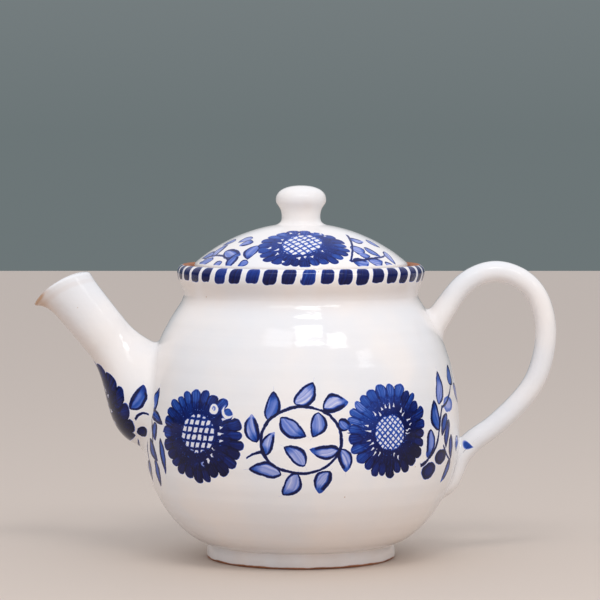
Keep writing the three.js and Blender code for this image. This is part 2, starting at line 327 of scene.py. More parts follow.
def spout_surface(inset):
    """A function of the distance up the spout's outline, giving a ring's points, and its end."""
    line = spout_line(inset)
    lengths = run_of(line)
    turn = turns(SPOUT_STEPS)

    def surface(places):
        places = np.broadcast_to(places, np.broadcast_shapes(np.shape(places), turn.shape))
        radius = np.interp(places, lengths, line[:, 0])
        z = np.interp(places, lengths, line[:, 1])
        x, y = radius * np.cos(turn), radius * np.sin(turn)
        swelling = 1 - smoothstep(z, -BULB_TURN, TUBE_START)
        y = y * (1 + (BULB_SPREAD - 1) * swelling)
        reach = np.maximum(0, (z - LIP_START) / (SPOUT_LENGTH - LIP_START))
        under = np.maximum(0, -np.cos(turn))
        x = x - LIP_PULL * under ** 5 * reach ** 2.5
        mouth = SPOUT_LENGTH - MOUTH_ARC + np.sqrt(MOUTH_ARC ** 2 - (x + MOUTH_LEAN) ** 2)
        z = np.where(reach > 0, LIP_START + reach * (mouth - LIP_START), z)
        cos, sin = math.cos(SPOUT_LEAN), math.sin(SPOUT_LEAN)
        out, rise = x * cos - z * sin, x * sin + z * cos
        return np.stack((SPOUT_START[0] + out, y, SPOUT_START[1] + rise), -1)

    return surface, lengths[-1]


def spout_rings():
    outer, outer_end = spout_surface(0)
    inner, inner_end = spout_surface(SPOUT_WALL)
    turn = turns(SPOUT_STEPS)
    outer_root = root_of(outer, outer_end, 0)
    inner_root = root_of(inner, inner_end, 0)
    fillet = 3.6 + 1.2 * np.sin(turn) ** 2 + 1.5 * np.maximum(0, -np.cos(turn))
    foot = rooted(outer, outer_root, -1, fillet)[::-1]
    start = outer_root + fillet
    t = np.linspace(0, 1, 90)[1:, None]
    tube = outer(start + t * (outer_end - LIP_ROUNDING - start))
    rise = unit(tube[-1] - tube[-2])
    brink = inner_end - LIP_ROUNDING
    inside = inner(np.full(SPOUT_STEPS, brink))
    swing = np.linspace(0, math.pi, 12)[1:-1, None, None]
    middle, half = (tube[-1] + inside) / 2, (tube[-1] - inside) / 2
    lip = middle + half * np.cos(swing) + 1.25 * LIP_ROUNDING * rise * np.sin(swing)
    channel = inner(brink + np.linspace(0, 1, 60)[:, None] * (inner_root - brink))
    hidden = on_pot(channel[-1], sunk=ROOT_DEPTH)[None]
    return np.concatenate((foot, tube, lip, channel, hidden))


# ---- handle


def handle_centre():
    """The handle's centre line in the XZ plane, as close, evenly spaced points, and its length."""
    stops = [(BELLY_RADIUS + out, NECK_HEIGHT + up) for out, up in HANDLE_UPPER]
    stops += [(BELLY_RADIUS + out, BELLY_HEIGHT + up) for out, up in HANDLE_LOWER]
    p = np.array(stops, float)
    p = np.concatenate((2 * p[:1] - p[1:2], p, 2 * p[-1:] - p[-2:-1]))
    t = run_of(p, 0.5)

    def between(first, last, start, end, s):
        return first + (last - first) * (s - t[start]) / (t[end] - t[start])

    line = []
    for i in range(1, len(p) - 2):
        s = np.linspace(t[i], t[i + 1], 40, endpoint=False)[:, None]
        a = [between(p[j], p[j + 1], j, j + 1, s) for j in (i - 1, i, i + 1)]
        b = [between(a[j], a[j + 1], i - 1 + j, i + 1 + j, s) for j in (0, 1)]
        line.append(between(b[0], b[1], i, i + 1, s))
    line = np.concatenate(line)
    lengths = run_of(line)
    even = np.linspace(0, lengths[-1], 600)
    columns = [
        blurred(np.interp(even, lengths, column), 33, mode="reflect", reflect_type="odd")
        for column in line.T
    ]
    return np.stack(columns, 1), lengths[-1]


def handle_surface():
    """A function of the distance along the handle, giving a ring's points, and its end."""
    line, end = handle_centre()
    even = np.linspace(0, end, len(line))
    ahead = unit(np.gradient(line, axis=0))
    turn = turns(HANDLE_STEPS)

    def surface(places):
        places = np.broadcast_to(places, np.broadcast_shapes(np.shape(places), turn.shape))
        x, z, dx, dz = (np.interp(places, even, values) for values in (*line.T, *ahead.T))
        u = places / end
        across = np.cos(turn) * through(HANDLE_THICKNESSES, u) / 2
        aside = np.sin(turn) * through(HANDLE_WIDTHS, u) / 2
        squarer = 1 + 0.05 * np.sin(2 * turn) ** 2
        across, aside = across * squarer, aside * squarer
        return np.stack((x - dz * across, aside, z + dx * across), -1)

    return surface, end


def handle_rings():
    surface, end = handle_surface()
    upper = root_of(surface, end / 2, 0)
    lower = root_of(surface, end / 2, end)
    top = rooted(surface, upper, -1, UPPER_FILLET)
    bottom = rooted(surface, lower, 1, LOWER_FILLET)
    start, stop = upper + UPPER_FILLET, lower - LOWER_FILLET
    bar = surface(start + np.linspace(0, 1, 150)[1:-1, None] * (stop - start))
    first, last = (
        on_pot(ring.mean(axis=0), sunk=1.5 * ROOT_DEPTH) + np.zeros_like(ring)[None]
        for ring in (top[-1], bottom[-1])
    )
    return np.concatenate((first, top[::-1], bar, bottom, last))


# ---- turned pieces


def pot_line():
    floor = CREASE_HEIGHT + BASE_THICKNESS
    globe = OUTSIDE[OUTSIDE[:, 1] <= NECK_HEIGHT]
    ahead = unit(np.gradient(globe, axis=0))
    inside = globe + WALL * np.stack((-ahead[:, 1], ahead[:, 0]), 1)
    inside = inside[inside[:, 1] > floor + WALL / 2]
    gallery = corners(
        (*OUTSIDE[-1], 0),
        (GALLERY_RADIUS + 0.5, RIM_TOP - 0.6, 1.2),
        (GALLERY_RADIUS, LEDGE_TOP, 0.5),
        (MOUTH_RADIUS, LEDGE_TOP, 0.7),
        (MOUTH_RADIUS, LEDGE_TOP - LEDGE_THICKNESS, 0.9),
        (*inside[-1], 0),
    )
    bottom = corners((*inside[0], 0), (CREASE_RADIUS - WALL, floor, 3), (0, floor, 0))
    return spaced(chain([(0, CREASE_HEIGHT)], OUTSIDE, gallery, inside[::-1], bottom), 2.4)


def foot_line():
    radius, inner = FOOT_HIGH.y, FOOT_HIGH.y - FOOT_WIDTH
    top, seam = CREASE_HEIGHT + 0.4, 4
    return spaced(corners(
        (inner, seam, 0),
        (inner, top, 0.2),
        (CREASE_RADIUS - 0.1, top, 0.1),
        (CREASE_RADIUS - 0.15, top - 0.9, 0.5),
        (radius, CREASE_HEIGHT * 0.55, 1.8),
        (radius, 0, 1.3),
        (inner, 0, 1.3),
        (inner, seam, 0),
    )[::-1], 1.2)


def dome_point(radius, raised=0.0):
    """(radius, height) on the lid's dome."""
    return radius, DOME_CENTRE + math.sqrt((DOME_RADIUS + raised) ** 2 - radius ** 2)


def lid_line():
    inside = FLANGE_HIGH.y - FLANGE_WALL
    hollow = [dome_point(r, -LID_WALL) for r in np.linspace(0, inside, 24)]
    over = [dome_point(r) for r in np.linspace(LID_RADIUS - 1.3, 0, 60)]
    edge = corners((*hollow[-1], 0), (inside, LID_LOW.z, 0.4), (LID_RADIUS, LID_LOW.z, 0.9),
                   (LID_RADIUS, LID_EDGE_TOP - 0.1, 1.1), (*over[0], 0))
    return spaced(chain(hollow, edge, over), 1.6)


def flange_line():
    outer, inner = FLANGE_HIGH.y, FLANGE_HIGH.y - FLANGE_WALL
    top, seam = LID_LOW.z + 0.2, 140
    return spaced(corners(
        (inner, seam, 0), (inner, top, 0.1), (outer + 0.6, top, 0.1),
        (outer, FLANGE_HIGH.z - 0.5, 0.6), (outer, FLANGE_LOW.z, 1.5), (inner, FLANGE_LOW.z, 1.5),
        (inner, seam, 0),
    )[::-1], 1.2)


def knob_line():
    top, radius, base, waist = KNOB_HIGH.z, KNOB_HIGH.y, 14.2, 9.7
    low, narrow, brow, widest = (LID_HIGH.z + rise for rise in (0.5, 3.2, 8.6, 11.6))
    foot, slide = dome_point(base, -0.04), dome_point(waist + 0.9, 0.1)
    return spaced(chain(
        [(0, LID_HIGH.z - 1.5), (base - 1, dome_point(base)[1] - 1.5)],
        bezier(foot, slide, (waist, low), (waist, narrow), steps=16),
        bezier((waist, narrow), (waist, brow), (radius, brow), (radius, widest), steps=20),
        bezier((radius, widest), (radius, widest + 0.65 * (top - widest)),
               (0.6 * radius, top), (0, top), steps=24),
    ), 1.0)


# ---- meshes


def add_object(name, data):
    obj = bpy.data.objects.new(name, data)
    bpy.context.scene.collection.objects.link(obj)
    return obj


def soften(mesh):
    """Smooth shading, apart from the sharp edges."""
    mesh.shade_smooth()
    mesh.set_sharp_from_angle(angle=math.radians(38))


def write(work, mesh):
    """Puts a worked mesh, facing outwards, into its data block."""
    bmesh.ops.recalc_face_normals(work, faces=work.faces)
    work.to_mesh(mesh)
    work.free()


def skin(name, rings, looped=False):
    """A mesh object over a stack of closed rings, which ends in points or closes on itself."""
    count, steps, _ = rings.shape
    index = np.arange(count * steps).reshape(count, steps)
    lower = index if looped else index[:-1]
    upper = np.roll(index, -1, axis=0) if looped else index[1:]
    sides = (lower, np.roll(lower, -1, axis=1), np.roll(upper, -1, axis=1), upper)
    faces = np.stack(sides, -1).reshape(-1, 4)
    mesh = bpy.data.meshes.new(name)
    mesh.from_pydata((rings.reshape(-1, 3) * MM).tolist(), [], faces.tolist())
    work = bmesh.new()
    work.from_mesh(mesh)
    bmesh.ops.remove_doubles(work, verts=work.verts, dist=1e-7)
    write(work, mesh)
    soften(mesh)
    obj = add_object(name, mesh)
    obj.location.x = AXIS_X * MM
    return obj


def rods(name, places, radius, half_length, axis, steps=32):
    """Round bars to cut holes with, centred on places."""
    mesh = bpy.data.meshes.new(name)
    work = bmesh.new()
    turn = turns(steps)
    for place in places:
        rings = []
        for end in (-half_length, half_length):
            circle = np.zeros((steps, 3))
            circle[:, axis] = end
            circle[:, (axis + 1) % 3] = radius * np.cos(turn)
            circle[:, (axis + 2) % 3] = radius * np.sin(turn)
            rings.append([work.verts.new((point + place) * MM) for point in circle])
        for i in range(steps):
            work.faces.new((rings[0][i - 1], rings[0][i], rings[1][i], rings[1][i - 1]))
        for ring in rings:
            work.faces.new(ring)
    write(work, mesh)
    return add_object(name, mesh)


def drilled(obj, places, radius, half_length, axis):
    """Cuts round holes through a piece."""
    cutter = rods("cutter", places, radius, half_length, axis)
    cutter.location = obj.location
    cut = obj.modifiers.new("holes", "BOOLEAN")
    cut.operation = "DIFFERENCE"
    cut.solver = "MANIFOLD"
    cut.object = cutter
    bpy.context.view_layer.update()
    evaluated = obj.evaluated_get(bpy.context.evaluated_depsgraph_get())
    mesh = bpy.data.meshes.new_from_object(evaluated)
    obj.modifiers.clear()
    obj.data = mesh
    bpy.data.objects.remove(cutter)
    soften(mesh)


def strainer_places():
    """The centres of a hole and the ring of holes round it."""
    ring = [(math.cos(turn) * STRAINER_PITCH, math.sin(turn) * STRAINER_PITCH)
            for turn in turns(STRAINER_COUNT)]
    return [np.array((-BELLY_RADIUS, y, STRAINER_HEIGHT + z)) for y, z in [(0, 0), *ring]]


# ---- node arithmetic


class Field:
    """The output of a shader node, so that a pattern can be written as arithmetic."""

    def __init__(self, socket):
        self.socket = socket

    def __abs__(self):
        return calc("ABSOLUTE", self)


def arithmetic(operation, swapped=False):
    """A method for a Field and another value, which may come first."""
    def method(self, other):
        return calc(operation, *((other, self) if swapped else (self, other)))
    return method


for word, operation in (("add", "ADD"), ("sub", "SUBTRACT"), ("mul", "MULTIPLY")):
    setattr(Field, f"__{word}__", arithmetic(operation))
    setattr(Field, f"__r{word}__", arithmetic(operation, swapped=True))
Field.__truediv__ = arithmetic("DIVIDE")
Field.__pow__ = arithmetic("POWER")


def feed(slot, value):
    if isinstance(value, Field):
        slot.node.id_data.links.new(value.socket, slot)
    else:
        slot.default_value = value


def fed(kind, *values, slots=None, **settings):
    """A new node with its inputs filled in, the first ones or the named slots, in their tree."""
    tree = next(value.socket.node.id_data for value in values if isinstance(value, Field))
    node = tree.nodes.new("ShaderNode" + kind)
    for key, value in settings.items():
        setattr(node, key, value)
    for slot, value in zip(slots or range(len(node.inputs)), values):
        feed(node.inputs[slot], value)
    return node


def calc(operation, *values):
    return Field(fed("Math", *values, operation=operation).outputs[0])


def vector_calc(operation, *values):
    node = fed("VectorMath", *values, operation=operation)
    single = operation in ("DISTANCE", "LENGTH", "DOT_PRODUCT")
    return Field(node.outputs["Value" if single else "Vector"])


def split(vector, kind="XYZ"):
    """A vector's X, Y and Z, or a colour's red, green and blue."""
    return [Field(output) for output in fed("Separate" + kind, vector).outputs]


def joined(*values):
    return Field(fed("CombineXYZ", *values).outputs[0])


def smooth(value, low, high):
    """0 below low, 1 above high, with an S curve between them."""
    settings = {"interpolation_type": "SMOOTHSTEP", "clamp": False}
    return Field(fed("MapRange", value, low, high, **settings).outputs[0])


def most(*values):
    result = values[0]
    for value in values[1:]:
        result = calc("MAXIMUM", result, value)
    return result


def least(a, b):
    return calc("MINIMUM", a, b)


def fraction(value):
    return calc("FRACT", value)


def length(a, b):
    return vector_calc("LENGTH", joined(a, b, 0.0))


def blend_colour(a, b, share):
    a, b = ((*colour, 1) if isinstance(colour, tuple) else colour for colour in (a, b))
    return Field(fed("Mix", share, a, b, slots=(0, 6, 7), data_type="RGBA").outputs[2])


def blend_vector(a, b, share):
    return Field(fed("Mix", share, a, b, slots=(0, 4, 5), data_type="VECTOR").outputs[1])


def ramp(value, stops):
    node = fed("ValToRGB", value)
    while len(node.color_ramp.elements) < len(stops):
        node.color_ramp.elements.new(1)
    for element, (place, colour) in zip(node.color_ramp.elements, stops):
        element.position = place
        element.color = (*colour, 1)
    return Field(node.outputs["Color"])


NOISE_SLOTS = ("Scale", "Detail", "Roughness")


def noise_node(point, waves, detail, roughness):
    """A noise node in the point's tree, shared by everything that asks for the same noise."""
    name = f"noise {waves} {detail} {roughness}"
    nodes = point.socket.node.id_data.nodes
    if name not in nodes:
        fed("TexNoise", point, waves / MM, detail, roughness,
            slots=("Vector", *NOISE_SLOTS), name=name)
    return nodes[name]


def noise(point, waves, detail=2, roughness=0.5):
    """Soft noise from 0 to 1 at an object coordinate, with so many waves per millimetre."""
    return Field(noise_node(point, waves, detail, roughness).outputs[0])


def noise_along(value, waves, detail=2, roughness=0.5):
    """Soft noise from 0 to 1 that runs along one value."""
    return Field(fed("TexNoise", value, waves, detail, roughness,
                     slots=("W", *NOISE_SLOTS), noise_dimensions="1D").outputs[0])


def chance(number, seed):
    """A random number from 0 to 1 for each whole number."""
    settings = {"slots": ("W",), "noise_dimensions": "1D"}
    return Field(fed("TexWhiteNoise", number + 61.7 * seed, **settings).outputs[0])


def wandering(place, point, waves, reach):
    """The place pushed about by up to about reach, as a hand wanders."""
    red, green, _ = split(Field(noise_node(point, waves, 1, 0.5).outputs[1]), "Color")
    push = joined((red - 0.5) * (2 * reach), (green - 0.5) * (2 * reach), 0.0)
    return vector_calc("ADD", place, push)


def by_hand(place, point, reach=0.5):
    """The place as a painter's hand finds it: it sways slowly and trembles a little."""
    return wandering(wandering(place, point, 0.22, reach), point, 1.1, 0.2)


# ---- brushwork

# Cobalt on white glaze, from a thin wash to where the brush left a pool.
COBALT = [
    (0.0, (0.84, 0.825, 0.83)),
    (0.12, (0.47, 0.50, 0.78)),
    (0.28, (0.15, 0.22, 0.60)),
    (0.45, (0.022, 0.090, 0.42)),
    (0.62, (0.005, 0.033, 0.25)),
    (0.80, (0.002, 0.008, 0.10)),
    (1.0, (0.001, 0.002, 0.03)),
]


def placed(place, centre, size, turn=0.0):
    """Coordinates that run from -1 to 1 over an area. A place is (across, up, 1)."""
    cos, sin = math.cos(turn), math.sin(turn)
    rows = []
    for way, reach in (((cos, sin), size[0]), ((-sin, cos), size[1])):
        across, up = way[0] / reach, way[1] / reach
        rows.append((across, up, -across * centre[0] - up * centre[1]))
    return [vector_calc("DOT_PRODUCT", place, row) for row in rows]


def line_frame(start, end):
    """The middle, half length and direction of a line."""
    start, end = np.array(start, float), np.array(end, float)
    across, up = end - start
    return tuple((start + end) / 2), math.hypot(across, up) / 2, math.atan2(up, across)


def leaves(place, point, sprays):
    """Outlined leaves with a wash inside. A leaf is its base's and its tip's place, its width and
    its tone. The tone runs from a thin wash at 0.1 to deep blue at 0.9, and also settles the leaf's
    luck. A negative width bends it the other way. Each place takes the nearest leaf."""
    chosen, nearest = None, None
    for *ends, width, tone in sprays:
        middle, half, turn = line_frame(ends[:2], ends[2:])
        local = joined(*placed(place, middle, (half, width / 2), turn), tone)
        away = vector_calc("DISTANCE", local, (0, 0, tone))
        if chosen is None:
            chosen, nearest = local, away
            continue
        closer = calc("LESS_THAN", away, nearest)
        chosen = blend_vector(chosen, local, closer)
        nearest = least(nearest, away)
    along, across, tone = split(chosen)
    bow = 1 - along * along
    across = across + 0.34 * bow - 0.17
    lean = along + 0.16 * bow
    inside = most(1 - lean * lean, 0.0) ** 0.7 - abs(across)
    number = calc("ROUND", tone * 997)
    luck = chance(number, 3.0)
    ragged = noise(point, 0.7, 2)
    streaks = noise_along(across * 1.6 + along * 0.5 + tone * 60, 1.4, 2)
    thick = 0.24 + 0.20 * smooth(tone, 0.5, 0.8) + 0.14 * luck
    thick = thick + 0.14 * smooth(across * (luck - 0.5), -0.1, 0.1)
    body = smooth(inside, -0.03, 0.07)
    stroke = body * (1 - smooth(inside, thick * 0.55, thick * 1.5))
    open_tip = smooth(along, 0.5, 0.9) * smooth(luck, 0.62, 0.68)
    stroke = stroke * (0.80 + 0.30 * ragged) * (1 - 0.85 * open_tip)
    end = calc("SIGN", chance(number, 8.0) - 0.42)
    pool = smooth(along * end, 0.15, 0.95)
    pool = 0.48 * pool * (0.6 + 0.8 * (ragged - 0.3))
    wash = 0.05 + tone * 0.58 + 0.46 * (streaks - 0.5) + pool
    return smooth(1.35 - nearest, 0, 0.02) * most(stroke, body * wash)


def stem(place, start, end, bow, thickness, tail=0.35):
    """A brush line between two points, bowed sideways, that thins towards its end."""
    middle, half, turn = line_frame(start, end)
    along, across = placed(place, middle, (half, 1.0), turn)
    off = abs(across - bow * (1 - along * along))
    half = thickness / 2 * (1 - tail * smooth(along, -1, 1))
    return smooth(half - off, -0.22, 0.22) * smooth(1.04 - abs(along), 0, 0.06) * 0.95


def berry(place, point, centre, size, tone=0.8):
    """A round dab, darkest at its edge."""
    out = length(*placed(place, centre, size)) + 0.16 * (noise(point, 0.35) - 0.5)
    return smooth(1 - out, -0.06, 0.10) * (tone + 0.22 * (smooth(out, 0.4, 0.9) - 0.5))


def hatch(x, y, columns, rows, line, slant):
    """Lines crossed at right angles over an area 2 wide, as the paint left between the gaps."""
    paint = []
    for value, count, share in ((x + slant * y, columns, line[0]), (y, rows, line[1])):
        wave = abs(fraction(value * (count / 2) + 40.5) - 0.5) * 2
        paint.append(smooth(share - wave, -0.14, 0.14))
    return most(*paint)


def petal_edge(across, reach, tip, sharpness):
    """How far out a petal reaches, across it, with a round tip."""
    return reach - tip * (1 - calc("SQRT", most(1 - sharpness * across * across, 0.0)))


def petals(place, point, seed, centre, size, count, shade, tone):
    """The overlapping petals of a round flower, as paint. shade is the way that they darken."""
    x, y = placed(place, centre, size)
    radius = length(x, y)
    turn = calc("ARCTAN2", y, x)
    drift = 1.6 * (noise(point, 0.045, 1) - 0.5)
    number = turn * (count / FULL_TURN) + drift
    across = fraction(number) - 0.5
    number = calc("FLOOR", number)
    luck, other = chance(number, seed), chance(number, seed + 5)
    cloud = noise(point, 0.12, 2)
    hairs = noise_along(turn * (count * 0.75) + radius * 1.3 + seed, 1.3, 3, 0.6)
    inside = petal_edge(across, 0.93 + 0.09 * luck, 0.10 + 0.05 * other, 3.6) - radius
    body = smooth(inside, -0.012, 0.016)
    outer = smooth(radius, 0.5, 0.85)
    rib = smooth(abs(across), 0.28, 0.5)
    paint = tone + shade[0] * x + shade[1] * y
    paint = paint + 0.10 * rib * outer - 0.24 * outer * other * (1 - rib)
    paint = paint + 0.60 * (hairs - 0.5) * (0.4 + 0.6 * outer) + 0.36 * (cloud - 0.5)
    paint = paint - 0.5 * smooth(noise(point, 1.1), 0.62, 0.74) * (1 - outer)
    paint = paint + 0.16 * (1 - smooth(inside, 0.0, 0.06))
    behind = abs(across) - 0.5
    fold = petal_edge(behind, 0.70 + 0.06 * luck, 0.14, 3.5) - radius
    paint = paint + 0.10 * smooth(abs(fold), 0.05, 0.0)
    return least(most(paint, 0.30), 1.0) * body


def heart(paint, place, point, seed, centre, size, cells, line, ticks, turn=0.0, slant=0.0):
    """The flower's hatched middle, left white in the paint, with white ticks round it. cells is how
    many hatched lines go across and up, and line is the shares of a cell that they fill and their
    strength. ticks is (count, length, direction they keep to, cosines from none to all)."""
    x, y = placed(place, centre, size, turn)
    ragged = noise(point, 0.6)
    x, y = x + 0.10 * (ragged - 0.5), y + 0.10 * (noise(point, 0.35) - 0.5)
    radius = length(x, y)
    white = smooth(1.02 - radius + 0.25 * (ragged - 0.5), -0.03, 0.05)
    white = white * (1 - hatch(x, y, *cells, line, slant) * (line[2] + 0.2 * (ragged - 0.5)))
    count, reach, direction, close = ticks
    turn = calc("ARCTAN2", y, x)
    number = turn * (count / FULL_TURN) + 0.6 * ragged
    off = abs(fraction(number) - 0.5)
    luck = chance(calc("FLOOR", number), seed + 9)
    depth = (radius - (1.05 + 0.55 * fraction(luck * 7))) / (reach * (0.4 + luck))
    tick = smooth(0.30 * (1 - depth) - off, 0, 0.08) * smooth(depth, -0.05, 0.05)
    tick = tick * smooth(luck, 0.3, 0.35) * smooth(calc("COSINE", turn - direction), *close)
    white = most(white, tick)
    return paint * (1 - white) + 0.05 * white


def white_spot(paint, place, centre, radius, eye):
    """A round white spot in the paint. Its eye is painted: (across, up, size, strength)."""
    x, y = placed(place, centre, (radius, radius))
    spot = smooth(1 - length(x, y), -0.12, 0.12)
    inner = smooth(eye[2] - length(x - eye[0], y - eye[1]), -0.12, 0.12) * eye[3]
    return paint * (1 - spot * (1 - inner))


def flower(place, point, seed, petal_sizes, heart_sizes):
    paint = petals(place, point, seed, **petal_sizes)
    return heart(paint, place, point, seed, **heart_sizes)


# ---- the painting on the pot

# Places on the pot are (arc from the middle of the front, height), with the arc at this radius.
BAND_RADIUS = 78.5
WREATH_CENTRE = (0.0, 66.8)
WREATH_SIZE = (19.4, 15.8)

LEAVES = [
    # round and inside the wreath
    (-15.2, 76.2, -12.8, 90.0, 7.7, 0.52), (-2.4, 83.2, 6.8, 93.8, 9.0, 0.21),
    (10.1, 82.2, 22.9, 85.4, -9.2, 0.13), (17.8, 75.5, 24.1, 72.6, 6.4, 0.47),
    (19.3, 62.9, 22.4, 51.1, -7.2, 0.31), (13.0, 52.3, 8.2, 41.2, 8.4, 0.24),
    (-1.0, 50.4, -8.7, 39.8, -8.8, 0.26), (-9.2, 50.9, -25.3, 53.3, 7.9, 0.28),
    (-21.7, 65.4, -24.6, 78.9, -7.9, 0.33), (-10.4, 76.9, 2.2, 68.0, 8.6, 0.36),
    (9.2, 79.8, 6.3, 68.0, -8.1, 0.34), (-17.4, 59.6, -13.0, 71.1, -6.3, 0.27),
    (2.4, 55.0, -7.7, 64.4, 7.9, 0.25), (18.3, 61.5, 4.1, 61.7, -7.2, 0.22),
    # beside the spout
    (-95.4, 75.8, -86.6, 87.4, 8.0, 0.55), (-95.4, 75.8, -79.8, 71.1, -5.6, 0.81),
    (-88.7, 71.4, -88.2, 61.9, 7.0, 0.72), (-95.3, 62.0, -87.0, 51.6, 7.0, 0.84),
    (-81.8, 64.0, -79.6, 46.0, -5.2, 0.71), (-88.8, 53.0, -90.9, 38.6, -6.0, 0.79),
    (-99.2, 51.0, -105.4, 39.9, 7.0, 0.83),
    # beside the handle
    (81.5, 80.0, 85.8, 96.0, 8.4, 0.37), (98.0, 88.4, 104.5, 97.8, 8.4, 0.56),
    (106.3, 88.6, 113.5, 78.6, -7.6, 0.58), (78.4, 67.6, 76.0, 82.8, -8.4, 0.65),
    (88.9, 75.6, 82.2, 65.2, 6.2, 0.74), (72.8, 69.0, 70.2, 55.0, -7.4, 0.38),
    (90.6, 72.2, 86.2, 58.6, 6.6, 0.82), (93.0, 64.6, 95.0, 52.2, 6.0, 0.83),
    (95.0, 52.8, 88.2, 41.0, -6.4, 0.73), (103.0, 63.0, 106.0, 55.0, -7.0, 0.29),
]

# (start, end, bow, thickness), and for the first, how much of its thickness it loses.
STEMS = [
    ((-18.6, 61.0), (-26.5, 57.6), -0.8, 1.5, 0.5),
    ((65.0, 52.0), (71.1, 55.0), -0.6, 2.0),
    ((71.1, 55.0), (79.5, 67.5), -1.6, 1.9),
    ((79.5, 67.5), (84.2, 79.2), 0.3, 1.8),
    ((84.2, 78.8), (99.4, 88.0), -1.6, 1.5),
    ((84.0, 60.0), (94.0, 52.0), -1.0, 1.3),
    ((-104.0, 71.0), (-95.4, 75.6), 1.5, 2.1),
    ((-95.4, 75.6), (-91.0, 60.0), 1.2, 1.9),
    ((-99.0, 66.0), (-99.5, 50.0), -1.2, 1.8),
]

# (centre, size, tone)
BERRIES = [
    ((82.0, 54.6), (5.8, 3.7), 0.95),
    ((72.4, 48.6), (5.8, 4.1), 0.88),
    ((91.9, 79.6), (6.2, 4.0), 0.30),
]

ALL_ROUND = (-3, -2)
LEFT_PETALS = dict(
    centre=(-53.6, 67.0), size=(26.2, 22.8), count=25, shade=(0.02, -0.14), tone=0.86)
LEFT_HEART = dict(
    centre=(-53.4, 68.2), size=(10.4, 9.0), slant=-0.22, cells=(6, 5), line=(0.36, 0.31, 0.90),
    ticks=(26, 0.30, -0.2, (0.0, 0.5)))
LEFT_SPOTS = [
    ((-44.1, 80.6), 2.6, (0.0, 0.1, 0.45, 0.35)),
    ((-36.4, 79.4), 3.4, (0.25, 0.3, 0.85, 0.9)),
]
RIGHT_PETALS = dict(
    centre=(44.9, 70.2), size=(23.6, 22.9), count=27, shade=(0.20, -0.18), tone=0.83)
RIGHT_HEART = dict(
    centre=(45.0, 69.2), size=(8.2, 8.2), turn=math.pi / 4, cells=(7.6, 7.6),
    line=(0.36, 0.36, 0.62), ticks=(34, 0.36, 0.0, ALL_ROUND))

DAB_COUNT = 42
DAB_TOP = 147.2
DAB_BOTTOM = 140.3


def vine(place, point, centre, size, thickness):
    """A brush line round an ellipse, of uneven weight."""
    off = (length(*placed(place, centre, size)) - 1) * (sum(size) / 2)
    off = abs(off + 2.2 * (noise(point, 0.05, 1) - 0.5))
    half = thickness / 2 * (0.3 + 1.4 * noise(point, 0.16, 2))
    return smooth(half - off, -0.2, 0.2) * 0.95


def outward(point):
    """1 on the outside of a hollow piece, and 0 on its inside."""
    nodes = point.socket.node.id_data.nodes
    normal = Field(nodes.new("ShaderNodeTexCoord").outputs["Normal"])
    return smooth(vector_calc("DOT_PRODUCT", normal, point), -0.002, 0.002)


def rim_dabs(point, x, y, z):
    """Blunt upright brush marks all round the rim."""
    number = calc("ARCTAN2", x, y) * (DAB_COUNT / FULL_TURN) + 0.02 * z
    across = fraction(number) - 0.5
    number = calc("FLOOR", number)
    luck, other, third = (chance(number, seed) for seed in (1.0, 2.0, 3.0))
    across = across + 0.07 * (other - 0.5) + 0.12 * (noise(point, 0.28) - 0.5)
    bottom = DAB_BOTTOM - 1.3 * luck + 1.1 * (noise(point, 0.35) - 0.5)
    upright = (z - (bottom + DAB_TOP) / 2) / ((DAB_TOP - bottom) / 2)
    square = (across / (0.345 + 0.04 * third)) ** 4 + abs(upright) ** 4
    mark = smooth(1 - square, -0.18, 0.3)
    hairs = noise_along(across * 6.0 + number * 3.3 + z * 0.08, 1.5, 3, 0.6)
    outer = smooth(length(x, y), RIM_RADIUS - 3.4, RIM_RADIUS - 2.6)
    paint = 0.86 - 0.10 * upright + 0.40 * (hairs - 0.5) - 0.20 * smooth(other, 0.75, 1.0)
    return mark * outer * least(most(paint, 0.35), 1.0)


def pot_painting(point, x, y, z):
    """The band of flowers, leaves and wreath, the same on the front and on the back."""
    paint = rim_dabs(point, x, y, z)
    place = joined(calc("ARCTAN2", x, abs(y)) * BAND_RADIUS, z, 1.0)
    place = by_hand(place, point, 0.55)
    paint = most(paint, leaves(place, point, LEAVES))
    paint = most(paint, vine(place, point, WREATH_CENTRE, WREATH_SIZE, 1.25))
    for line in STEMS:
        paint = most(paint, stem(place, *line))
    for centre, size, tone in BERRIES:
        paint = most(paint, berry(place, point, centre, size, tone))
    left = flower(place, point, 1.0, LEFT_PETALS, LEFT_HEART)
    for spot in LEFT_SPOTS:
        left = white_spot(left, place, *spot)
    paint = most(paint, left)
    paint = most(paint, flower(place, point, 2.0, RIGHT_PETALS, RIGHT_HEART))
    return paint * outward(point)


# ---- materials

WHITE = (0.825, 0.82, 0.83)
CREAM = (0.91, 0.86, 0.825)
# TAN is thin glaze over clay, and also the tint of painted shade and painted warm bounce light.
TAN = (0.56, 0.36, 0.24)
CLAY = (0.40, 0.155, 0.07)
DARK_CLAY = (0.23, 0.085, 0.042)


def new_material(name):
    """A material, its shader, its object coordinate, and that in millimetres as X, Y and Z."""
    material = bpy.data.materials.new(name)
    material.use_nodes = True
    tree = material.node_tree
    point = Field(tree.nodes.new("ShaderNodeTexCoord").outputs["Object"])
    metres = split(point)
    return material, tree.nodes["Principled BSDF"], point, [value * (1 / MM) for value in metres]


def bump(shader, height):
    """Relief, from a height in millimetres."""
    node = fed("Bump", MM, height, slots=("Distance", "Height"))
    feed(shader.inputs["Normal"], Field(node.outputs[0]))


def clay_colour(point):
    grain = noise(point, 0.9, 5, 0.7)
    patches = noise(point, 0.07, 3)
    return blend_colour(DARK_CLAY, CLAY, smooth(grain * 0.5 + patches * 0.5, 0.35, 0.6))


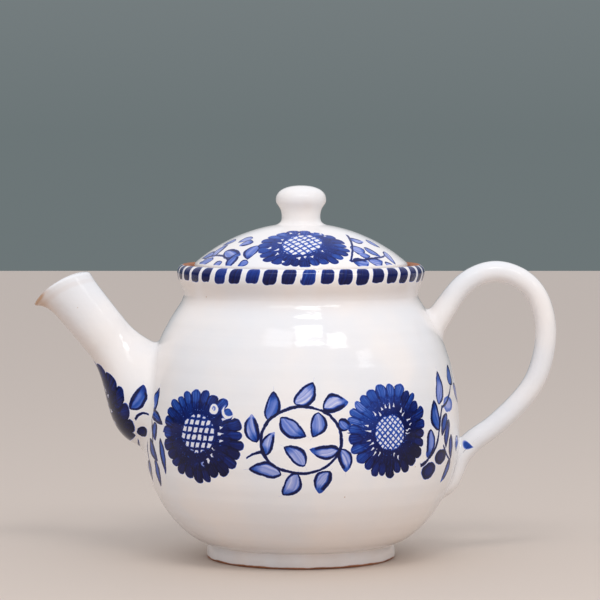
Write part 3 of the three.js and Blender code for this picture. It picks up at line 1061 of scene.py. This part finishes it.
def specks(point, cell, radius, share):
    """Small round spots, at most one in each cell, in a share of the cells."""
    node = fed("TexVoronoi", point, 1 / (cell * MM), slots=("Vector", "Scale"))
    distance, colour = (Field(node.outputs[name]) for name in ("Distance", "Color"))
    red, green, _ = split(colour, "Color")
    size = radius / cell
    spot = smooth(size * (0.4 + 0.6 * green) - distance, -0.25 * size, 0.25 * size)
    return spot * calc("GREATER_THAN", red, 1 - share)


def glazed(name, paint=None, thin_glaze_and_shade=None, bare=None):
    """Glossy white tin glaze over red clay. paint is how thick the cobalt is; the third argument is
    a tan tint, partly thin glaze where the clay warms it and partly painted shade and painted warm
    light bounced from below; bare is where the glaze stops."""
    material, shader, point, (x, y, z) = new_material(name)
    colour = blend_colour(WHITE, CREAM, smooth(noise(point, 0.022, 3), 0.35, 0.68))
    colour = blend_colour(colour, TAN, specks(point, 11, 0.5, 0.30) * 0.75)
    colour = blend_colour(colour, DARK_CLAY, specks(point, 17, 0.28, 0.35) * 0.8)
    height = noise(point, 0.16, 2) * 0.035 + noise(point, 0.75, 2) * 0.010
    height = height + noise_along(z + 0.03 * x, 0.22, 2) * 0.05
    gloss = 0.04 + 0.08 * noise(point, 0.09, 3)
    # A tan tint: thin glaze, and painted shade and painted warm bounce light.
    if thin_glaze_and_shade:
        colour = blend_colour(colour, TAN, thin_glaze_and_shade(point, x, y, z))
    if paint:
        density = paint(point, x, y, z)
        colour = blend_colour(colour, ramp(density, COBALT), smooth(density, 0.01, 0.10))
        gloss = gloss + 0.05 * smooth(density, 0.3, 0.9)
        height = height + 0.02 * density
    if bare:
        mask = bare(point, x, y, z)
        colour = blend_colour(colour, clay_colour(point), mask)
        gloss = gloss + mask * 0.6
        height = height + mask * (noise(point, 1.4, 4, 0.7) * 0.12 - 0.2)
    feed(shader.inputs["Base Color"], colour)
    feed(shader.inputs["Roughness"], gloss)
    feed(shader.inputs["IOR"], 1.48)
    feed(shader.inputs["Specular IOR Level"], 0.29)
    bump(shader, height)
    return material


def bare_clay(name):
    """Unglazed red earthenware."""
    material, shader, point, _ = new_material(name)
    grain = noise(point, 1.6, 5, 0.7)
    feed(shader.inputs["Base Color"], clay_colour(point))
    feed(shader.inputs["Roughness"], 0.68 + 0.25 * grain)
    bump(shader, grain * 0.16 + noise(point, 0.3, 2) * 0.15)
    return material


def inside_gallery(point, x, y, z):
    """The rim's seat for the lid, wiped clean of glaze, with a ragged edge."""
    radius = length(x, y) + 1.6 * (noise(point, 0.12, 3) - 0.5) - 2.2 * smooth(abs(x), 46, 58)
    above = smooth(z, LEDGE_TOP - 4, LEDGE_TOP - 3)
    return smooth(GALLERY_RADIUS + 2.4 - radius, -0.4, 0.4) * above


def pot_thin_glaze_and_shade(point, x, y, z):
    """A tan tint: painted shade and thin glaze in the hollow under the rim, and painted warm
    light bounced from below on the lowest part of the belly.
    """
    neck = smooth(z, 124, 133) * smooth(z, 142, 138)
    low = smooth(z, 44, 12)
    return (neck * 0.17 + low * 0.12) * (0.6 + 0.8 * noise(point, 0.09, 3))


def foot_painted_warm_light(point, x, y, z):
    """Painted warm light bounced from below: an uneven tan tint over the whole foot."""
    return 0.04 + 0.24 * noise(point, 0.12, 2)


def worn_foot(point, x, y, z):
    """The foot's lowest edge, where the glaze was wiped off."""
    return smooth(1.1 + 1.8 * (noise(point, 0.1, 3) - 0.5) - z, -0.3, 0.3)


def spout_thin_glaze_and_shade(point, x, y, z):
    """The edge of the mouth and the underside of the lip, where the glaze ran thin, and painted
    shade under the spout next to the pot.
    """
    cos, sin = math.cos(SPOUT_LEAN), math.sin(SPOUT_LEAN)
    up = (x - SPOUT_START[0]) * -sin + (z - SPOUT_START[1]) * cos
    low = (x - SPOUT_START[0]) * cos + (z - SPOUT_START[1]) * sin
    mouth = SPOUT_LENGTH - MOUTH_ARC + calc("SQRT", MOUTH_ARC ** 2 - (low + MOUTH_LEAN) ** 2)
    ragged = noise(point, 0.2, 2) - 0.5
    edge = smooth(up - mouth + 1.6 + 1.4 * ragged, 0, 1.4) * smooth(-1 * low, 4, 15)
    line = smooth(1.2 - abs(up - mouth + 4.2 + 1.2 * ragged), -0.8, 0.8)
    beak = smooth(up, 34, 56) * smooth(-1 * low, 9, 15)
    # Painted shade on the spout's underside, next to the pot.
    shade_below = smooth(up, -4, 12) * smooth(-1 * low + 3 * ragged, 3, 12)
    return least(edge * 0.8 + line * 0.10 + beak * 0.5 + shade_below * 0.24, 1.0)


SPOUT_PETALS = dict(
    centre=(0.6, -1.8), size=(28.4, 25.6), count=15, shade=(0.0, -0.06), tone=0.98)
SPOUT_HEART = dict(
    centre=(0.0, 0.0), size=(7.5, 7.0), slant=0.2, cells=(5, 4), line=(0.28, 0.42, 0.9),
    ticks=(20, 0.4, 0.0, ALL_ROUND))
SPOUT_LEAF = (27.4, -7.9, 39.8, -2.3, 8.0, 0.62)
SPOUT_FLOWER_PLACE = (-99.0, 74.0)
SWELLING_RADIUS = 24.0


def spout_painting(point, x, y, z):
    """A flower that wraps the underside of the spout's swelling."""
    lean = math.radians(52)
    out, rise = x - SPOUT_FLOWER_PLACE[0], z - SPOUT_FLOWER_PLACE[1]
    up = out * -math.cos(lean) + rise * math.sin(lean)
    depth = out * -math.sin(lean) - rise * math.cos(lean)
    turn = calc("ARCTAN2", abs(y), depth + SWELLING_RADIUS)
    place = by_hand(joined(turn * SWELLING_RADIUS, up, 1.0), point)
    paint = flower(place, point, 4.0, SPOUT_PETALS, SPOUT_HEART)
    paint = most(paint, leaves(place, point, [SPOUT_LEAF]))
    paint = most(paint, stem(place, (26.5, -12.6), (33.5, -14.6), 1.6, 1.4))
    paint = most(paint, berry(place, point, (24.6, -19.7), (3.4, 2.7), 0.95))
    return paint * outward(point)


DAB_ON_HANDLE = (83.4, 56.6)


def handle_painting(point, x, y, z):
    """A dab of blue where the painter's brush touched the handle's root."""
    across, up = x - DAB_ON_HANDLE[0], z - DAB_ON_HANDLE[1]
    out = length(across / 2.8, (up + 0.3 * across) / (1.9 - 0.5 * across))
    return smooth(1 - out, -0.1, 0.4) * 0.55


def knob_thin(point, x, y, z):
    """Patches where the clay warms the glaze."""
    return 0.12 * smooth(noise(point, 0.07, 3), 0.45, 0.75)


# Places on the lid are (across, towards the back), measured over the dome.
LID_LEAVES = [
    (-22.6, -33.8, -28.6, -44.2, 8.4, 0.52), (-39.9, -25.8, -32.0, -38.6, 7.7, 0.42),
    (-33.4, -36.6, -39.6, -44.2, 7.2, 0.62), (-38.3, -15.0, -47.6, -23.9, 7.7, 0.33),
    (-46.9, -27.4, -54.9, -16.5, -5.8, 0.56), (-41.8, -35.0, -48.3, -35.9, 6.0, 0.45),
    (-24.2, -22.3, -32.4, -20.9, 6.5, 0.36), (-24.0, -28.2, -32.0, -26.6, 6.2, 0.48),
    (-46.0, -19.0, -52.6, -10.2, 6.4, 0.45), (-33.2, -15.8, -40.6, -11.6, 6.0, 0.50),
    (-27.5, -47.0, -33.6, -46.0, 5.4, 0.55), (25.8, -36.0, 33.2, -31.6, 9.1, 0.37),
    (27.4, -47.0, 36.2, -42.0, 7.9, 0.51), (35.8, -41.0, 43.4, -33.6, 7.0, 0.44),
    (24.4, -24.6, 32.2, -20.8, 6.7, 0.35), (32.2, -28.7, 42.0, -29.8, 5.8, 0.57),
    (43.3, -19.2, 50.3, -27.8, 6.0, 0.39), (30.0, -38.4, 36.4, -35.2, 5.2, 0.52),
    (33.0, -14.6, 41.2, -16.4, 6.0, 0.45), (45.0, -34.6, 49.4, -30.2, 5.0, 0.42),
]

LID_STEMS = [
    ((-51.3, -16.9), (-38.4, -37.1), 2.0, 1.6),
    ((-38.4, -37.1), (-31.6, -35.7), 1.0, 1.5),
    ((23.2, -18.7), (26.0, -46.9), 1.6, 1.4),
    ((26.0, -46.9), (44.0, -26.0), -2.0, 1.5),
]


LID_PETALS = dict(
    centre=(0.8, -40.2), size=(24.6, 17.8), count=23, shade=(0.03, -0.10), tone=0.80)
LID_HEART = dict(
    centre=(0.5, -38.6), size=(10.8, 8.8), turn=math.radians(40), cells=(6.4, 6.4),
    line=(0.30, 0.30, 0.75), ticks=(24, 0.26, 0.0, ALL_ROUND))


def lid_painting(point, x, y, z):
    """Flowers on the front and the back of the dome, with sprays of leaves between them."""
    radius = length(x, y)
    stretch = calc("ARCSINE", radius / DOME_RADIUS) * DOME_RADIUS / most(radius, 0.01)
    place = by_hand(joined(x * stretch, abs(y) * stretch * -1, 1.0), point)
    above = smooth(z, LID_EDGE_TOP + 0.2, LID_EDGE_TOP + 0.9)
    paint = flower(place, point, 6.0, LID_PETALS, LID_HEART)
    paint = most(paint, leaves(place, point, LID_LEAVES))
    for line in LID_STEMS:
        paint = most(paint, stem(place, *line))
    return above * paint * outward(point) * 0.84


# ---- the pieces


def finish_piece(obj, node, body, material):
    obj.data.materials.clear()
    obj.data.materials.append(material)
    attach(obj, body)
    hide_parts(node)


def make_pot():
    pot = skin("pot_shell", thrown(turned(pot_line()), 0.05))
    drilled(pot, strainer_places(), STRAINER_RADIUS, 14, 0)
    glaze = glazed("painted_glaze", pot_painting, thin_glaze_and_shade=pot_thin_glaze_and_shade, bare=inside_gallery)
    finish_piece(pot, "pot_body", "pot", glaze)
    foot = skin("pot_foot", turned(foot_line()), looped=True)
    finish_piece(foot, "foot_ring", "pot", glazed("foot_glaze", thin_glaze_and_shade=foot_painted_warm_light, bare=worn_foot))
    spout = skin("pouring_spout", spout_rings(), looped=True)
    finish_piece(spout, "spout", "pot", glazed("spout_glaze", spout_painting, thin_glaze_and_shade=spout_thin_glaze_and_shade))
    handle = skin("loop_handle", handle_rings())
    finish_piece(handle, "handle", "pot", glazed("handle_glaze", handle_painting))


def make_lid():
    lid = skin("lid_shell", thrown(turned(lid_line()), 0.03))
    drilled(lid, [np.array((0, VENT_PLACE, LID_HIGH.z))], VENT_RADIUS, 30, 2)
    finish_piece(lid, "lid_dome", "lid", glazed("lid_glaze", lid_painting))
    flange = skin("lid_seat", turned(flange_line()), looped=True)
    finish_piece(flange, "lid_flange", "lid", bare_clay("red_clay"))
    knob = skin("lid_grip", turned(knob_line(), 96))
    finish_piece(knob, "lid_knob", "lid", glazed("knob_glaze", thin_glaze_and_shade=knob_thin))


# ---- studio

CAMERA_DISTANCE = 1.45
CAMERA_HEIGHT = 0.213
CAMERA_PITCH = math.radians(3.315)


def add_camera():
    data = bpy.data.cameras.new("camera")
    data.lens = 174
    data.sensor_width = 36
    camera = add_object("camera", data)
    camera.location = (AXIS_X * MM - 0.0005, -CAMERA_DISTANCE, CAMERA_HEIGHT)
    camera.rotation_euler = (math.pi / 2 - CAMERA_PITCH, 0, 0)
    bpy.context.scene.camera = camera


# The panes of the window that show in the glaze: (azimuth from the camera towards +X, elevation,
# width, height, brightness), with their angles in degrees.
PANES = [
    (10, 54, 0.40, 0.25, 10),
    (-24, 50, 0.42, 0.20, 3),
    (38, 46, 0.28, 0.20, 7),
    (57, 31, 0.24, 0.14, 4),
]
PANE_DISTANCE = 1.2
SHOULDER = Vector((0.0, -0.066, 0.118))


def add_window():
    for number, (azimuth, elevation, width, height, brightness) in enumerate(PANES):
        azimuth, elevation = math.radians(azimuth), math.radians(elevation)
        level, rise = math.cos(elevation), math.sin(elevation)
        away = Vector((math.sin(azimuth) * level, -math.cos(azimuth) * level, rise))
        data = bpy.data.lights.new(f"pane_{number}", "AREA")
        data.shape = "RECTANGLE"
        data.size, data.size_y = width, height
        data.energy = brightness * math.pi * width * height
        pane = add_object(f"pane_{number}", data)
        pane.location = SHOULDER + away * PANE_DISTANCE
        pane.rotation_euler = away.to_track_quat("Z", "Y").to_euler()


def add_floor():
    mesh = bpy.data.meshes.new("floor")
    half = 3.0
    places = [(-half, -half, 0), (half, -half, 0), (half, half, 0), (-half, half, 0)]
    mesh.from_pydata(places, [], [(0, 1, 2, 3)])
    floor = add_object("floor", mesh)
    material = bpy.data.materials.new("pale_floor")
    material.use_nodes = True
    shader = material.node_tree.nodes["Principled BSDF"]
    feed(shader.inputs["Base Color"], (0.64, 0.545, 0.47, 1))
    feed(shader.inputs["Roughness"], 0.7)
    mesh.materials.append(material)


# The studio's light, from the dim backdrop at 0, by way of the front, to overhead at 1.
SKY = [
    (0.0, (0.15, 0.18, 0.185)),
    (0.12, (0.24, 0.265, 0.275)),
    (0.32, (0.86, 0.855, 0.88)),
    (0.62, (0.79, 0.81, 0.86)),
    (1.0, (0.77, 0.79, 0.85)),
]


def add_world():
    """A soft studio, dim at the horizon behind the pot and bright in front and overhead."""
    world = bpy.data.worlds.new("studio")
    world.use_nodes = True
    tree = world.node_tree
    _, y, z = split(Field(tree.nodes.new("ShaderNodeTexCoord").outputs["Generated"]))
    sky = ramp(z * (1 - 0.3 * y) + 0.34 * most(y * -1, 0.0), SKY)
    feed(tree.nodes["Background"].inputs["Color"], sky)
    bpy.context.scene.world = world


add_camera()
make_pot()
make_lid()
add_floor()
add_world()
add_window()
bpy.context.scene.view_settings.view_transform = "Standard"
